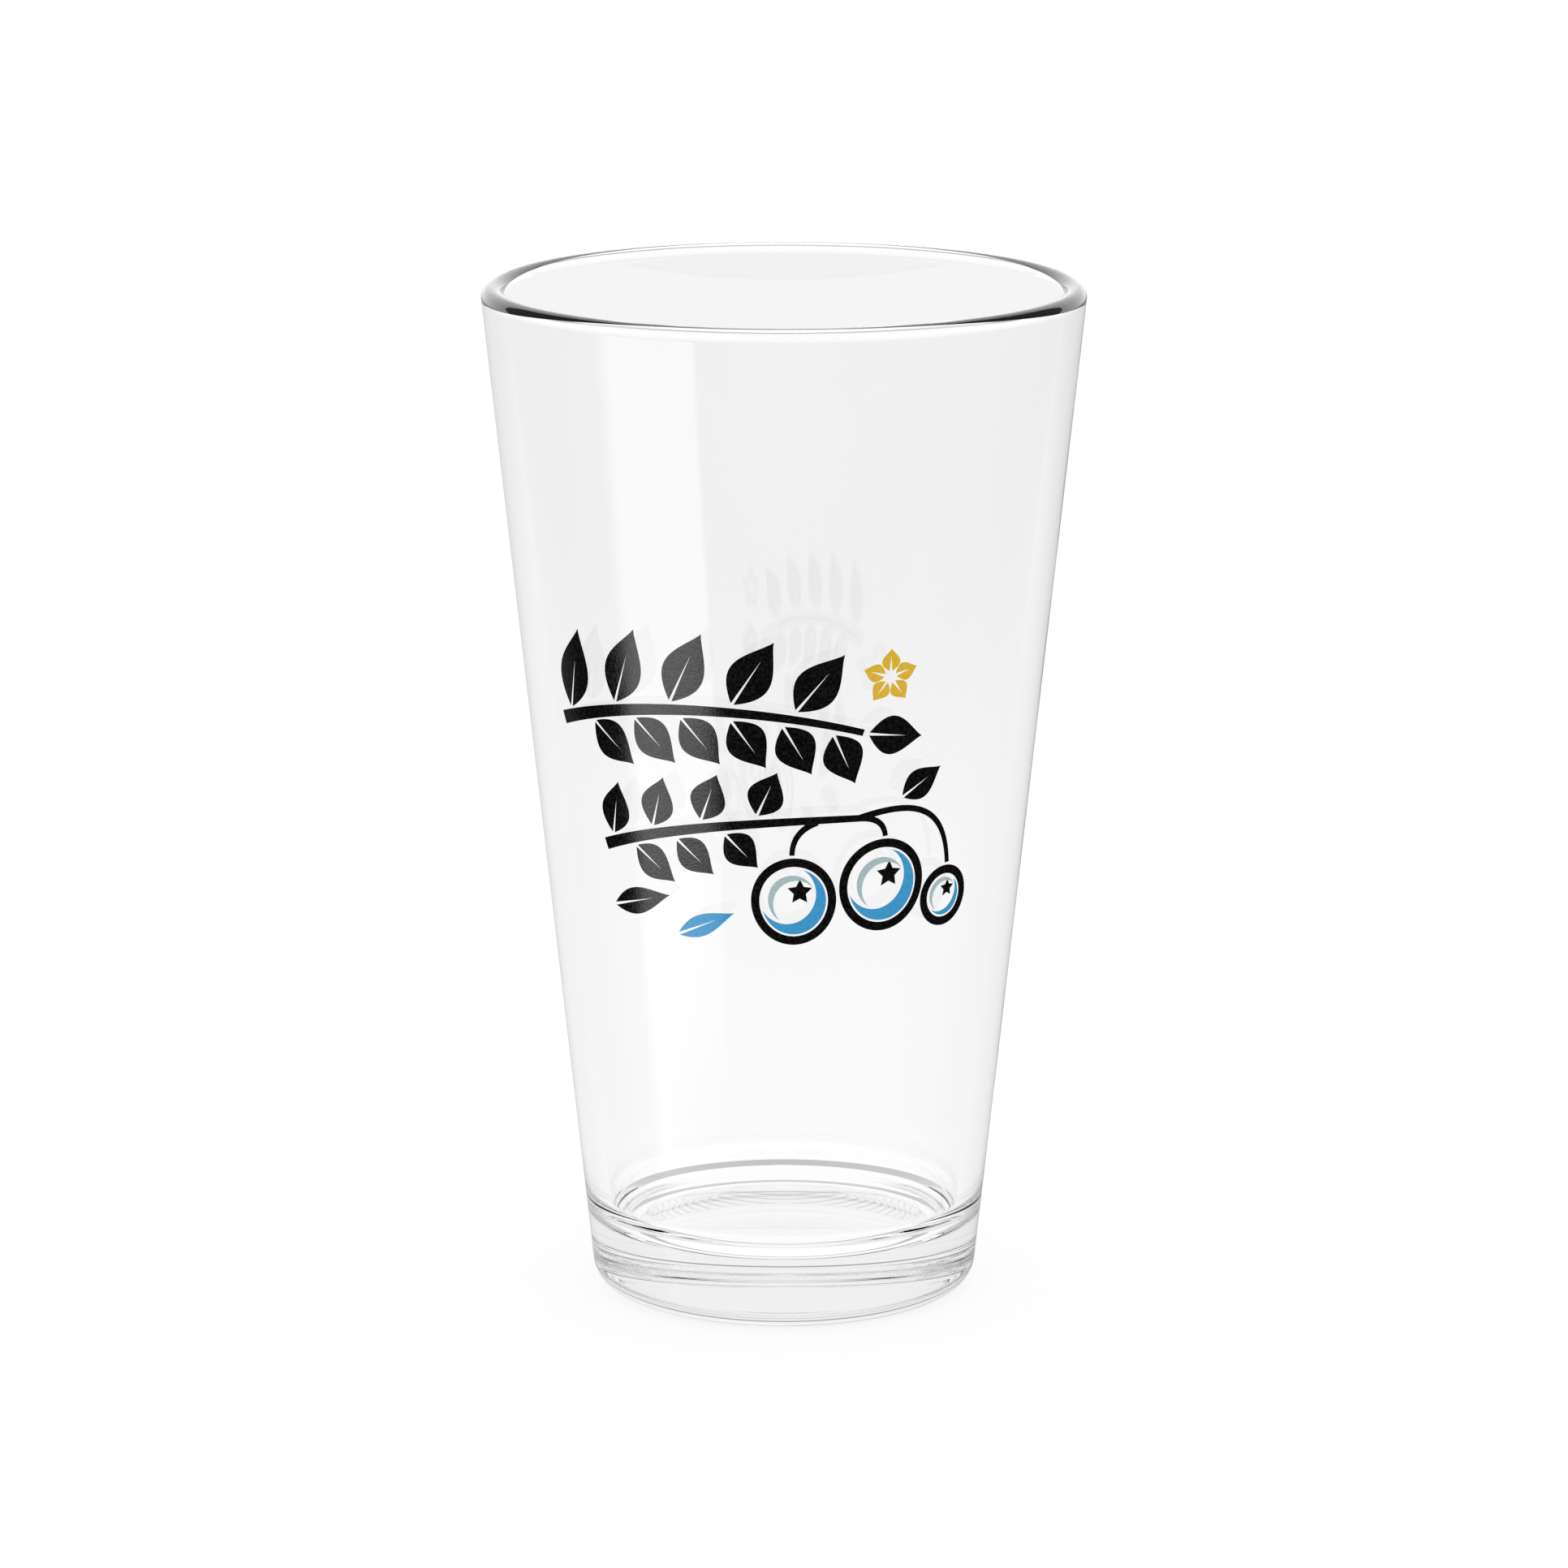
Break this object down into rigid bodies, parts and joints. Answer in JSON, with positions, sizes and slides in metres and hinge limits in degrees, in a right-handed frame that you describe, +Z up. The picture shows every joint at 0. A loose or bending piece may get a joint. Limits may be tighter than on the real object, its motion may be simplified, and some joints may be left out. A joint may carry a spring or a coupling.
{
  "type": "pint glass",
  "caption": "Tapered clear pint glass with a thick base, a rounded rim and a leaf-and-berry motif printed round its front.",
  "frame": {"origin": "centre of the foot, on the plane the glass rests on", "axes": "+Z up along the axis of the glass, -Y out of the middle of the printed front, +X to the right seen from the front"},
  "size_m": [0.089, 0.089, 0.152],
  "materials": {
    "clear_glass": "clear soda-lime glass, pressed and fire-polished",
    "black_enamel": "screen-printed ink, satin",
    "blue_enamel": "screen-printed ink, satin",
    "grey_enamel": "screen-printed ink, satin",
    "yellow_enamel": "screen-printed ink, satin"
  },
  "bodies": {
    "root": {"glass_body": "clear_glass", "black_print": "black_enamel", "blue_print": "blue_enamel", "grey_print": "grey_enamel", "yellow_print": "yellow_enamel"}
  },
  "joints": []
}
